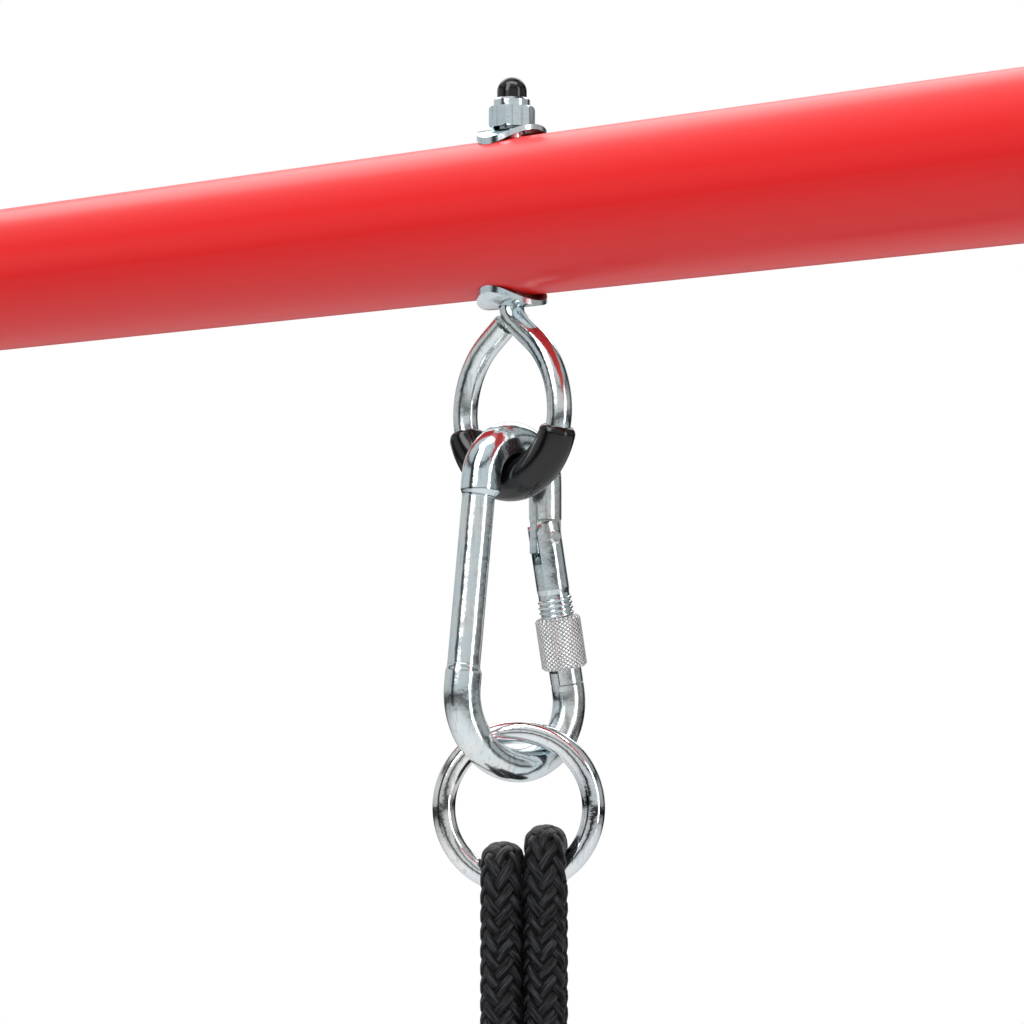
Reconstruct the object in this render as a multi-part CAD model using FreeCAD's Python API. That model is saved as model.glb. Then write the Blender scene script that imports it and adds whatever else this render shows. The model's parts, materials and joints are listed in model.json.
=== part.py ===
"""Swing hanging point on a round beam.

A painted steel beam carries a bent eye bolt. A screw-lock snap hook hangs in the eye over a plastic
wear sleeve, a welded ring hangs in the hook, and two braided ropes are doubled over the ring. A
sandwich clamp grips the four rope legs and carries the hole for the seat's own fitting.

Millimetres. +X runs along the beam, +Z is up, and the origin is on the beam's axis where the eye
bolt crosses it.
"""
import FreeCAD
import Part
import math
import os

V = FreeCAD.Vector
UP = V(0, 0, 1)
ORIGIN = V(0, 0, 0)

# ---------------------------------------------------------------- driving dimensions
# Beam
BEAM_DIAMETER = 38.0
BEAM_WALL = 1.5
BEAM_LENGTH = 430.0
JOINT_HOLE_DIAMETER = 6.6
JOINT_HOLE_FROM_END = 15.0

# Eye bolt, bent from round wire
BOLT_DIAMETER = 6.0
BOLT_HOLE_CLEARANCE = 0.3        # radial, in the beam and the saddle washers
EYE_RADIUS = 16.0                # to the wire's centre line
EYE_HEIGHT = 41.4                # centre line, from the bend under the washer to the eye's lowest point
SHOULDER_RADIUS = 22.0           # bend between the round of the eye and a straight limb
NECK_RADIUS = 4.6                # bend from the shank into the eye
FREE_END_GAP = 0.5               # between the open limb's end and the other limb

# Saddle washers, lock nut and cap
WASHER_RADIUS = 8.5
WASHER_THICKNESS = 1.2
WASHER_CROWN_GAP = 1.6           # a saddle is bent tighter than the beam, so its crown stands clear
NUT_ACROSS_FLATS = 10.0
NUT_HEX_HEIGHT = 5.0
NUT_COLLAR_HEIGHT = 2.1
NUT_COLLAR_RADIUS = 4.4
NUT_CHAMFER = 0.5
INSERT_HEIGHT = 1.5
THREAD_PAST_NUT = 2.2
CAP_WALL = 0.6
CAP_SKIRT = 1.0

# Wear sleeve on the lowest part of the eye
SLEEVE_WALL = 2.2
SLEEVE_RISE = 10.2               # how far the ends reach above the eye's lowest centre line
SLEEVE_BORE_CLEARANCE = 0.05

# Snap hook
HOOK_WIRE = 7.9
HOOK_YAW = -97.0                 # direction of the spine about +Z, degrees
HOOK_ON_SLEEVE = 0.35            # gap above the wear sleeve
HOOK_HEIGHT = 78.1               # centre line, lowest to highest
HOOK_BEND_EASE = 0.4             # the top bend's radius beyond a close fit over the wear sleeve
HOOK_TOP_OFFSET = -0.3           # centre of the top bend, towards the spine
HOOK_LOW_OFFSET = -2.0           # lowest point, towards the spine
HOOK_SPINE_RADIUS = 17.2         # lower bend, spine side
HOOK_NOSE_RADIUS = 15.5          # lower bend, nose side
TONGUE_THICKNESS = 2.9
TONGUE_END = 4.0                 # below the rivet
NOSE_TONGUE = 3.2                # above the nose's shoulder

# Gate
GATE_DROP = 23.1                 # rivet below the hook's highest centre line
RIVET_DIAMETER = 2.5
RIVET_HEAD_DIAMETER = 3.4
RIVET_HEAD_HEIGHT = 0.35
RIVET_RUNNING_CLEARANCE = 0.05
GATE_SLOT_CLEARANCE = 0.2        # each side of a tongue
GATE_SLOT_RELIEF = 0.5           # below the tongue's swinging corner
GATE_END_GAP = 0.35              # between gate and hook, at both ends
GATE_NECK_END = 12.5             # full round, measured from the rivet
GATE_SHOULDER = 1.2              # taper down to the thread
THREAD_RADIUS = 3.8
THREAD_LENGTH = 16.6
GATE_FOOT = 5.35                 # full round below the thread
SPRING_BORE_RADIUS = 1.6
SPRING_BORE_DEPTH = 21.0         # below the rivet
PLUNGER_RADIUS = 1.5
PLUNGER_LENGTH = 5.0
PLUNGER_GAP = 0.15
SPRING_WIRE = 0.4
SPRING_PITCH = 1.1

# Lock sleeve
LOCK_RADIUS = 5.5
LOCK_LENGTH = 12.6
LOCK_FROM_RIVET = 19.4
LOCK_THREAD_LENGTH = 5.6
LOCK_THREAD_CLEARANCE = 0.06
LOCK_BORE_CLEARANCE = 0.3        # over the gate's lower end and the nose
LOCK_CHAMFER = 0.6

# Ring
RING_WIRE = 5.5
RING_RADIUS = 18.1               # to the wire's centre line
RING_YAW = 37.0                  # direction of the ring's plane about +Z, degrees
RING_ON_HOOK = 1.4               # centre-line height over a plain touching fit, for the slanted crossing

# Ropes
ROPE_DIAMETER = 10.0
ROPE_YAW = 43.0                  # direction across the two ropes about +Z, degrees
ROPE_OFFSETS = (-3.75, 6.55)     # the two ropes along the ring, from its lowest point
ROPE_LOOP_GAP = 2.0              # between rope and ring wire in the doubled loop
LOOP_RISES = (-0.2, 1.5)         # centre of each loop above the ring's lowest centre line
LEG_LENGTH = 62.5                # from the ring's lowest centre line down to the cut ends

# Rope clamp
CLAMP_TOP = 43.0                 # below the ring's lowest centre line
CLAMP_HEIGHT = 24.0
CLAMP_SIDE = 7.6                 # thickness of an outer plate
CLAMP_GAP = 0.8                  # between plates, left for gripping
CLAMP_EDGE = 3.4                 # plate beyond the legs, front and back
CLAMP_FILLET = 2.5
GROOVE_CLEARANCE = 0.05
SCREW_DIAMETER = 4.0
SCREW_CLEARANCE = 0.2
SCREW_HEAD_RADIUS = 3.5
SCREW_HEAD_HEIGHT = 2.4
SCREW_HEAD_SOCKET = 1.5
SCREW_INSET = 5.5                # from the plates' upper and lower edges
CLAMP_NUT_ACROSS_FLATS = 7.0
CLAMP_NUT_HEIGHT = 3.0
LUG_HEIGHT = 20.0
LUG_HALF_WIDTH = 8.5
SEAT_HOLE_DIAMETER = 8.4

# ---------------------------------------------------------------- sizes that follow
beam_radius = BEAM_DIAMETER / 2
bolt_radius = BOLT_DIAMETER / 2
bolt_hole_radius = bolt_radius + BOLT_HOLE_CLEARANCE
washer_crown = beam_radius + WASHER_CROWN_GAP
nut_base = washer_crown + WASHER_THICKNESS
collar_base = nut_base + NUT_HEX_HEIGHT
nut_top = collar_base + NUT_COLLAR_HEIGHT
bolt_top = nut_top + THREAD_PAST_NUT
eye_bend_start = -(washer_crown + WASHER_THICKNESS)
eye_bottom = eye_bend_start - EYE_HEIGHT
eye_centre = eye_bottom + EYE_RADIUS
sleeve_radius = bolt_radius + SLEEVE_WALL

hook_radius = HOOK_WIRE / 2
hook_top_radius = sleeve_radius + HOOK_ON_SLEEVE + hook_radius + HOOK_BEND_EASE
hook_top = eye_bottom + sleeve_radius + HOOK_ON_SLEEVE + hook_radius
hook_bottom = hook_top - HOOK_HEIGHT
rivet_height = hook_top - GATE_DROP
rivet_offset = HOOK_TOP_OFFSET - hook_top_radius
slot_width = TONGUE_THICKNESS + 2 * GATE_SLOT_CLEARANCE

rope_radius = ROPE_DIAMETER / 2
ring_wire_radius = RING_WIRE / 2


# ---------------------------------------------------------------- helpers
def cylinder(radius, length, base=ORIGIN, direction=UP):
    return Part.makeCylinder(radius, length, base, direction)


def cone(radius_low, radius_high, length, base=ORIGIN, direction=UP):
    return Part.makeCone(radius_low, radius_high, length, base, direction)


def block(low, high):
    size = high.sub(low)
    return Part.makeBox(size.x, size.y, size.z, low)


def hexagon(across_flats, height, base, direction=UP):
    """A hexagonal prism that starts at base and runs along direction."""
    circumradius = across_flats / math.sqrt(3)
    corners = [
        V(circumradius * math.cos(math.radians(60 * i)), circumradius * math.sin(math.radians(60 * i)), 0)
        for i in range(7)
    ]
    prism = Part.Face(Part.makePolygon(corners)).extrude(V(0, 0, height))
    prism.Placement = FreeCAD.Placement(base, FreeCAD.Rotation(UP, direction))
    return prism


def turned_hexagon(across_flats, height, chamfer, base, direction=UP):
    """A hexagonal prism whose corners are turned off at both ends, as a nut's are."""
    prism = hexagon(across_flats, height, base, direction)
    corner = across_flats / math.sqrt(3)
    lower = cone(corner - chamfer, corner + height - chamfer, height, base, direction)
    far = base + direction * height
    upper = cone(corner - chamfer, corner + height - chamfer, height, far, direction * -1)
    return prism.common(lower).common(upper)


def tube_along(edges, radius):
    """A round rod of the given radius along a chain of tangent lines and arcs."""
    path = Part.Wire(edges)
    first = edges[0]
    start = first.valueAt(first.FirstParameter)
    direction = first.tangentAt(first.FirstParameter)
    profile = Part.Wire(Part.makeCircle(radius, start, direction))
    return path.makePipeShell([profile], True, False)


def heading(angle):
    """Unit vector in the XZ plane, angle in radians from +X towards +Z."""
    return V(math.cos(angle), 0, math.sin(angle))


def right_of(angle):
    return V(math.sin(angle), 0, -math.cos(angle))


def clockwise_arc(centre, radius, start_heading, end_heading):
    """The arc that a point follows while its heading turns clockwise."""
    middle = (start_heading + end_heading) / 2
    points = [centre - right_of(a) * radius for a in (start_heading, middle, end_heading)]
    return Part.Arc(*points).toShape()


def arc_about(centre, radius, start, end):
    """An arc in the XZ plane between two angles about its centre, in radians."""
    points = [centre + heading(a) * radius for a in (start, (start + end) / 2, end)]
    return Part.Arc(*points).toShape()


def line(start, end):
    return Part.LineSegment(start, end).toShape()


def turned(shape, centre, angle):
    """The shape turned about a vertical axis through centre, in degrees."""
    copy = shape.copy()
    copy.rotate(centre, UP, angle)
    return copy


def save(name, shape):
    shape.exportStep("parts/%s.step" % name)
    print("%-20s solids %d  volume %.1f mm3" % (name, len(shape.Solids), shape.Volume))


# ---------------------------------------------------------------- beam and its bolt
def beam_tube():
    start = V(-BEAM_LENGTH / 2, 0, 0)
    along = V(1, 0, 0)
    tube = cylinder(beam_radius, BEAM_LENGTH, start, along)
    tube = tube.cut(cylinder(beam_radius - BEAM_WALL, BEAM_LENGTH, start, along))
    tube = tube.cut(cylinder(bolt_hole_radius, 2 * BEAM_DIAMETER, V(0, 0, -BEAM_DIAMETER)))
    for side in (-1, 1):
        hole = V(side * (BEAM_LENGTH / 2 - JOINT_HOLE_FROM_END), -BEAM_DIAMETER, 0)
        tube = tube.cut(cylinder(JOINT_HOLE_DIAMETER / 2, 2 * BEAM_DIAMETER, hole, V(0, 1, 0)))
    return tube


def saddle_washer():
    """A round blank bent about the beam's direction until its two sides rest on the beam."""
    side_height = math.sqrt(beam_radius ** 2 - WASHER_RADIUS ** 2)
    drop = washer_crown - side_height
    bend_radius = (drop ** 2 + WASHER_RADIUS ** 2) / (2 * drop)
    axis_height = washer_crown - bend_radius
    base = V(-BEAM_DIAMETER, 0, axis_height)
    shell = cylinder(bend_radius + WASHER_THICKNESS, 2 * BEAM_DIAMETER, base, V(1, 0, 0))
    shell = shell.cut(cylinder(bend_radius, 2 * BEAM_DIAMETER, base, V(1, 0, 0)))
    blank = cylinder(WASHER_RADIUS, 2 * BEAM_DIAMETER, V(0, 0, beam_radius / 2))
    hole = cylinder(bolt_hole_radius, 2 * BEAM_DIAMETER)
    return shell.common(blank).cut(hole)


def lower_saddle_washer():
    washer = saddle_washer()
    washer.rotate(ORIGIN, V(1, 0, 0), 180)
    return washer


def lock_nut():
    nut = turned_hexagon(NUT_ACROSS_FLATS, NUT_HEX_HEIGHT, NUT_CHAMFER, V(0, 0, nut_base))
    collar = cylinder(NUT_COLLAR_RADIUS, NUT_COLLAR_HEIGHT - NUT_CHAMFER, V(0, 0, collar_base))
    crown = cone(NUT_COLLAR_RADIUS, NUT_COLLAR_RADIUS - NUT_CHAMFER, NUT_CHAMFER,
                 V(0, 0, nut_top - NUT_CHAMFER))
    nut = nut.fuse([collar, crown])
    nut = nut.cut(cylinder(bolt_radius, nut_top, V(0, 0, 0)))
    pocket_radius = (NUT_COLLAR_RADIUS + bolt_radius) / 2 + NUT_CHAMFER / 2
    return nut.cut(cylinder(pocket_radius, INSERT_HEIGHT, V(0, 0, collar_base)))


def nut_insert():
    outer = (NUT_COLLAR_RADIUS + bolt_radius) / 2 + NUT_CHAMFER / 2
    insert = cylinder(outer, INSERT_HEIGHT, V(0, 0, collar_base))
    return insert.cut(cylinder(bolt_radius, INSERT_HEIGHT, V(0, 0, collar_base)))


def thread_cap():
    outer = bolt_radius + CAP_WALL
    dome_base = bolt_top - CAP_WALL
    cap = cylinder(outer, dome_base - nut_top, V(0, 0, nut_top))
    dome = Part.makeSphere(outer, V(0, 0, dome_base)).cut(
        block(V(-2 * outer, -2 * outer, dome_base - 2 * outer), V(2 * outer, 2 * outer, dome_base)))
    return cap.fuse(dome).cut(cylinder(bolt_radius, bolt_top - nut_top, V(0, 0, nut_top)))


def eye_bolt():
    """Shank, neck bend, limb, eye and the open limb, as one bent wire.

    Each limb is the straight line that touches the neck bend and the shoulder bend.
    """
    limb_height = EYE_HEIGHT - EYE_RADIUS
    bends = SHOULDER_RADIUS + NECK_RADIUS
    limb_straight = math.sqrt(limb_height ** 2 + (bends - EYE_RADIUS) ** 2 - bends ** 2)
    slant = math.pi / 2 - math.atan2(limb_height, EYE_RADIUS - bends) + math.atan2(bends, limb_straight)
    outward = heading(slant)
    neck_centre = V(NECK_RADIUS, 0, eye_bend_start)
    right_shoulder = V(EYE_RADIUS - SHOULDER_RADIUS, 0, eye_centre)
    left_shoulder = V(SHOULDER_RADIUS - EYE_RADIUS, 0, eye_centre)
    limb_top = neck_centre - outward * NECK_RADIUS
    limb_end = right_shoulder + outward * SHOULDER_RADIUS
    reach = bolt_radius * (1 + math.cos(2 * slant)) + FREE_END_GAP - 2 * limb_top.x * math.cos(slant)
    cut_back = reach / math.sin(2 * slant)
    free_start = V(-limb_end.x, 0, limb_end.z)
    free_end = V(-limb_top.x, 0, limb_top.z) - V(math.sin(slant), 0, math.cos(slant)) * cut_back
    edges = [
        line(V(0, 0, bolt_top), V(0, 0, eye_bend_start)),
        arc_about(neck_centre, NECK_RADIUS, math.pi, math.pi + slant),
        line(limb_top, limb_end),
        arc_about(right_shoulder, SHOULDER_RADIUS, slant, 0),
        arc_about(V(0, 0, eye_centre), EYE_RADIUS, 0, -math.pi),
        arc_about(left_shoulder, SHOULDER_RADIUS, math.pi, math.pi - slant),
        line(free_start, free_end),
    ]
    return tube_along(edges, bolt_radius)


def wear_sleeve():
    centre = V(0, 0, eye_centre)
    span = (math.pi, 2 * math.pi)
    outer = tube_along([arc_about(centre, EYE_RADIUS, *span)], sleeve_radius)
    inner = tube_along([arc_about(centre, EYE_RADIUS, *span)], bolt_radius + SLEEVE_BORE_CLEARANCE)
    reach = EYE_RADIUS + 2 * sleeve_radius
    above = block(V(-reach, -reach, eye_bottom + SLEEVE_RISE), V(reach, reach, eye_centre + reach))
    return outer.cut(inner).cut(above)


# ---------------------------------------------------------------- snap hook
# The hook and its gate are laid out in the XZ plane, the spine towards +X, then turned to HOOK_YAW.
top_centre = V(HOOK_TOP_OFFSET, 0, hook_top - hook_top_radius)
spine_centre = V(HOOK_LOW_OFFSET, 0, hook_bottom + HOOK_SPINE_RADIUS)
nose_centre = V(HOOK_LOW_OFFSET, 0, hook_bottom + HOOK_NOSE_RADIUS)
rivet_point = V(rivet_offset, 0, rivet_height)

to_spine = spine_centre - top_centre
radius_growth = HOOK_SPINE_RADIUS - hook_top_radius
spine_length = math.sqrt(to_spine.Length ** 2 - radius_growth ** 2)
spine_heading = math.atan2(to_spine.z, to_spine.x) + math.atan2(radius_growth, spine_length)

to_rivet = rivet_point - nose_centre
gate_run = math.sqrt(to_rivet.Length ** 2 - HOOK_NOSE_RADIUS ** 2)
nose_heading = math.atan2(to_rivet.z, to_rivet.x) - math.atan2(HOOK_NOSE_RADIUS, gate_run)

gate_down = heading(nose_heading) * -1
gate_across = right_of(nose_heading)
gate_length = GATE_NECK_END + GATE_SHOULDER + THREAD_LENGTH + GATE_FOOT


def on_gate(distance):
    """A point on the gate's axis, measured down from the rivet."""
    return rivet_point + gate_down * distance


def gate_slab(thickness, start, end):
    """A slab across the gate's axis, of a given thickness, between two distances from the rivet."""
    half = 3 * hook_radius
    slab = Part.makeBox(2 * half, thickness, end - start, V(-half, -thickness / 2, 0))
    slab.Placement = FreeCAD.Placement(on_gate(start), FreeCAD.Rotation(gate_across, V(0, 1, 0), gate_down))
    return slab


def hook_body():
    end_top = V(rivet_offset, 0, rivet_height + hook_radius + GATE_END_GAP)
    nose_start = nose_centre - right_of(nose_heading) * HOOK_NOSE_RADIUS
    nose_end = on_gate(gate_length + GATE_END_GAP)
    edges = [
        line(end_top, V(rivet_offset, 0, top_centre.z)),
        clockwise_arc(top_centre, hook_top_radius, math.pi / 2, spine_heading),
        line(top_centre - right_of(spine_heading) * hook_top_radius,
             spine_centre - right_of(spine_heading) * HOOK_SPINE_RADIUS),
        clockwise_arc(spine_centre, HOOK_SPINE_RADIUS, spine_heading, -math.pi),
        clockwise_arc(nose_centre, HOOK_NOSE_RADIUS, -math.pi, nose_heading - 2 * math.pi),
        line(nose_start, nose_end),
    ]
    body = tube_along(edges, hook_radius)
    half = TONGUE_THICKNESS / 2
    tongue = cylinder(hook_radius, hook_radius + GATE_END_GAP + TONGUE_END,
                      V(rivet_offset, 0, rivet_height - TONGUE_END))
    reach = 3 * hook_radius
    tongue = tongue.common(block(V(rivet_offset - reach, -half, rivet_height - TONGUE_END),
                                 V(rivet_offset + reach, half, end_top.z)))
    tongue_start = gate_length + GATE_END_GAP - NOSE_TONGUE
    nose_tongue = cylinder(hook_radius, NOSE_TONGUE, nose_end, heading(nose_heading)).common(
        gate_slab(TONGUE_THICKNESS, tongue_start, gate_length + GATE_END_GAP))
    body = body.fuse([tongue, nose_tongue]).removeSplitter()
    hole_radius = RIVET_DIAMETER / 2 + RIVET_RUNNING_CLEARANCE
    return body.cut(cylinder(hole_radius, HOOK_WIRE, rivet_point + V(0, -hook_radius, 0), V(0, 1, 0)))


def gate_body():
    cheek = cylinder(hook_radius, GATE_NECK_END, rivet_point, gate_down)
    crown = cylinder(hook_radius, 2 * hook_radius, on_gate(-hook_radius), gate_down).common(
        cylinder(hook_radius, HOOK_WIRE, rivet_point + V(0, -hook_radius, 0), V(0, 1, 0)))
    shoulder = cone(hook_radius, THREAD_RADIUS, GATE_SHOULDER, on_gate(GATE_NECK_END), gate_down)
    thread_start = GATE_NECK_END + GATE_SHOULDER
    thread = cylinder(THREAD_RADIUS, THREAD_LENGTH, on_gate(thread_start), gate_down)
    foot_start = thread_start + THREAD_LENGTH
    foot = cylinder(hook_radius, gate_length - foot_start, on_gate(foot_start), gate_down)
    gate = cheek.fuse([crown, shoulder, thread, foot]).removeSplitter()
    tongue_corner = math.hypot(TONGUE_END, hook_radius)
    upper_slot = gate_slab(slot_width, -2 * hook_radius, tongue_corner + GATE_SLOT_RELIEF)
    lower_slot = gate_slab(slot_width, foot_start, gate_length + hook_radius)
    bore = cylinder(SPRING_BORE_RADIUS, SPRING_BORE_DEPTH, rivet_point, gate_down)
    hole = cylinder(RIVET_DIAMETER / 2, HOOK_WIRE, rivet_point + V(0, -hook_radius, 0), V(0, 1, 0))
    return gate.cut(upper_slot).cut(lower_slot).cut(bore).cut(hole)


def gate_rivet():
    head_start = V(0, -hook_radius - RIVET_HEAD_HEIGHT, 0)
    rivet = cylinder(RIVET_DIAMETER / 2, HOOK_WIRE, rivet_point + V(0, -hook_radius, 0), V(0, 1, 0))
    near = cone(RIVET_DIAMETER / 2, RIVET_HEAD_DIAMETER / 2, RIVET_HEAD_HEIGHT,
                rivet_point + head_start, V(0, 1, 0))
    far = cone(RIVET_DIAMETER / 2, RIVET_HEAD_DIAMETER / 2, RIVET_HEAD_HEIGHT,
               rivet_point - head_start, V(0, -1, 0))
    return rivet.fuse([near, far])


plunger_top = TONGUE_END + PLUNGER_GAP
plunger_end = plunger_top + PLUNGER_LENGTH


def gate_plunger():
    """The pin that the spring pushes against the end of the hook's tongue."""
    tip = Part.makeSphere(PLUNGER_RADIUS, on_gate(plunger_top + PLUNGER_RADIUS))
    stem = cylinder(PLUNGER_RADIUS, PLUNGER_LENGTH - PLUNGER_RADIUS,
                    on_gate(plunger_top + PLUNGER_RADIUS), gate_down)
    return stem.fuse(tip).removeSplitter()


def gate_spring():
    """A coil spring between the plunger and the bottom of its bore."""
    length = SPRING_BORE_DEPTH - plunger_end - SPRING_WIRE
    coil_radius = SPRING_BORE_RADIUS - SPRING_WIRE / 2 - 0.1
    helix = Part.makeHelix(SPRING_PITCH, length, coil_radius)
    profile = Part.Wire(Part.makeCircle(SPRING_WIRE / 2, V(coil_radius, 0, 0), V(0, 1, 0)))
    spring = Part.Wire(helix).makePipeShell([profile], True, True)
    spring.Placement = FreeCAD.Placement(on_gate(plunger_end + SPRING_WIRE / 2),
                                         FreeCAD.Rotation(UP, gate_down))
    return spring


def lock_sleeve():
    start = on_gate(LOCK_FROM_RIVET)
    middle = LOCK_LENGTH - 2 * LOCK_CHAMFER
    sleeve = cylinder(LOCK_RADIUS, middle, on_gate(LOCK_FROM_RIVET + LOCK_CHAMFER), gate_down)
    upper = cone(LOCK_RADIUS - LOCK_CHAMFER, LOCK_RADIUS, LOCK_CHAMFER, start, gate_down)
    lower = cone(LOCK_RADIUS, LOCK_RADIUS - LOCK_CHAMFER, LOCK_CHAMFER,
                 on_gate(LOCK_FROM_RIVET + LOCK_CHAMFER + middle), gate_down)
    sleeve = sleeve.fuse([upper, lower])
    thread_bore = cylinder(THREAD_RADIUS + LOCK_THREAD_CLEARANCE, LOCK_THREAD_LENGTH, start, gate_down)
    plain_bore = cylinder(hook_radius + LOCK_BORE_CLEARANCE, LOCK_LENGTH - LOCK_THREAD_LENGTH,
                          on_gate(LOCK_FROM_RIVET + LOCK_THREAD_LENGTH), gate_down)
    return sleeve.cut(thread_bore).cut(plain_bore)


# ---------------------------------------------------------------- ring, ropes and rope clamp
# These are laid out about the ring's vertical axis, then turned there: the ring to RING_YAW, and the
# ropes with their clamp to ROPE_YAW.
yaw = math.radians(HOOK_YAW)
hang_point = V(HOOK_LOW_OFFSET * math.cos(yaw), HOOK_LOW_OFFSET * math.sin(yaw), 0)
ring_top = hook_bottom + hook_radius + ring_wire_radius + RING_ON_HOOK
ring_bottom = ring_top - 2 * RING_RADIUS
loop_radius = ring_wire_radius + ROPE_LOOP_GAP + rope_radius
leg_end = ring_bottom - LEG_LENGTH
clamp_top = ring_bottom - CLAMP_TOP
clamp_bottom = clamp_top - CLAMP_HEIGHT
clamp_depth = loop_radius + rope_radius + CLAMP_EDGE
screw_heights = (clamp_top - SCREW_INSET, clamp_bottom + SCREW_INSET)
left_rope, right_rope = ROPE_OFFSETS
left_rise, right_rise = LOOP_RISES
plate_half_gap = CLAMP_GAP / 2
seat_hole_height = clamp_bottom - LUG_HEIGHT + LUG_HALF_WIDTH


def ring():
    return Part.makeTorus(RING_RADIUS, ring_wire_radius, V(0, 0, ring_bottom + RING_RADIUS), V(0, 1, 0))


def rope(offset, rise):
    """One rope: a straight leg, half a turn over the ring's wire, and a straight leg down."""
    centre = V(offset, 0, ring_bottom + rise)
    front = V(0, -loop_radius, 0)
    leg = V(0, 0, leg_end - centre.z)
    edges = [
        line(centre + front + leg, centre + front),
        Part.Arc(centre + front, centre + V(0, 0, loop_radius), centre - front).toShape(),
        line(centre - front, centre - front + leg),
    ]
    length = 2 * leg.Length + math.pi * loop_radius
    solid = tube_along(edges, rope_radius)
    print("rope at %+.1f: length %.1f mm, bend radius %.2f mm, volume %.1f of %.1f mm3"
          % (offset, length, loop_radius, solid.Volume, math.pi * rope_radius ** 2 * length))
    return solid


def clamp_plate(low_x, high_x, lug=False):
    """One plate of the sandwich, with a half-round groove for each rope leg that it touches."""
    plate = block(V(low_x, -clamp_depth, clamp_bottom), V(high_x, clamp_depth, clamp_top))
    corners = [edge for edge in plate.Edges if abs(edge.tangentAt(edge.FirstParameter).x) > 0.9]
    plate = plate.makeFillet(CLAMP_FILLET, corners)
    if lug:
        tab = block(V(low_x, -LUG_HALF_WIDTH, seat_hole_height), V(high_x, LUG_HALF_WIDTH, clamp_bottom + 1))
        eye = cylinder(LUG_HALF_WIDTH, high_x - low_x, V(low_x, 0, seat_hole_height), V(1, 0, 0))
        hole = cylinder(SEAT_HOLE_DIAMETER / 2, high_x - low_x, V(low_x, 0, seat_hole_height), V(1, 0, 0))
        plate = plate.fuse([tab, eye]).removeSplitter().cut(hole)
    for offset in ROPE_OFFSETS:
        for side in (-1, 1):
            base = V(offset, side * loop_radius, clamp_bottom)
            plate = plate.cut(cylinder(rope_radius + GROOVE_CLEARANCE, CLAMP_HEIGHT, base))
    for height in screw_heights:
        hole = cylinder(SCREW_DIAMETER / 2 + SCREW_CLEARANCE, high_x - low_x, V(low_x, 0, height), V(1, 0, 0))
        plate = plate.cut(hole)
    return plate


left_face = left_rope - plate_half_gap - CLAMP_SIDE
right_face = right_rope + plate_half_gap + CLAMP_SIDE


def left_clamp_plate():
    return clamp_plate(left_face, left_rope - plate_half_gap)


def centre_clamp_plate():
    return clamp_plate(left_rope + plate_half_gap, right_rope - plate_half_gap, lug=True)


def right_clamp_plate():
    plate = clamp_plate(right_rope + plate_half_gap, right_face)
    for height in screw_heights:
        pocket = hexagon(CLAMP_NUT_ACROSS_FLATS + 2 * SCREW_CLEARANCE, CLAMP_NUT_HEIGHT,
                         V(right_face - CLAMP_NUT_HEIGHT, 0, height), V(1, 0, 0))
        plate = plate.cut(pocket)
    return plate


def clamp_screws():
    screws = []
    for height in screw_heights:
        shank = cylinder(SCREW_DIAMETER / 2, right_face - left_face, V(left_face, 0, height), V(1, 0, 0))
        head = cylinder(SCREW_HEAD_RADIUS, SCREW_HEAD_HEIGHT, V(left_face - SCREW_HEAD_HEIGHT, 0, height),
                        V(1, 0, 0))
        socket = hexagon(SCREW_DIAMETER * 0.625, SCREW_HEAD_SOCKET,
                         V(left_face - SCREW_HEAD_HEIGHT, 0, height), V(1, 0, 0))
        screws.append(shank.fuse(head).cut(socket))
    return Part.makeCompound(screws)


def clamp_nuts():
    nuts = []
    for height in screw_heights:
        nut = turned_hexagon(CLAMP_NUT_ACROSS_FLATS, CLAMP_NUT_HEIGHT, NUT_CHAMFER / 2,
                             V(right_face - CLAMP_NUT_HEIGHT, 0, height), V(1, 0, 0))
        bore = cylinder(SCREW_DIAMETER / 2, CLAMP_NUT_HEIGHT, V(right_face - CLAMP_NUT_HEIGHT, 0, height),
                        V(1, 0, 0))
        nuts.append(nut.cut(bore))
    return Part.makeCompound(nuts)


# ---------------------------------------------------------------- build
fixed_parts = {
    "beam_tube": beam_tube,
    "upper_saddle_washer": saddle_washer,
    "lower_saddle_washer": lower_saddle_washer,
    "lock_nut": lock_nut,
    "nut_insert": nut_insert,
    "thread_cap": thread_cap,
    "eye_bolt": eye_bolt,
    "wear_sleeve": wear_sleeve,
}
hook_parts = {
    "hook_body": hook_body,
    "gate_body": gate_body,
    "gate_rivet": gate_rivet,
    "gate_plunger": gate_plunger,
    "gate_spring": gate_spring,
    "lock_sleeve": lock_sleeve,
}
rope_parts = {
    "rope_left": lambda: rope(left_rope, left_rise),
    "rope_right": lambda: rope(right_rope, right_rise),
    "left_clamp_plate": left_clamp_plate,
    "centre_clamp_plate": centre_clamp_plate,
    "right_clamp_plate": right_clamp_plate,
    "clamp_screws": clamp_screws,
    "clamp_nuts": clamp_nuts,
}

os.makedirs("parts", exist_ok=True)
for name, make in fixed_parts.items():
    save(name, make())
for name, make in hook_parts.items():
    save(name, turned(make(), ORIGIN, HOOK_YAW))
save("ring", turned(ring(), ORIGIN, RING_YAW).translated(hang_point))
for name, make in rope_parts.items():
    save(name, turned(make(), ORIGIN, ROPE_YAW).translated(hang_point))


def spread(label, point):
    print("%-24s (%.5f, %.5f, %.5f)" % (label, point.x, point.y, point.z))


def hook_place(point):
    return FreeCAD.Rotation(UP, HOOK_YAW).multVec(point)


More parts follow.
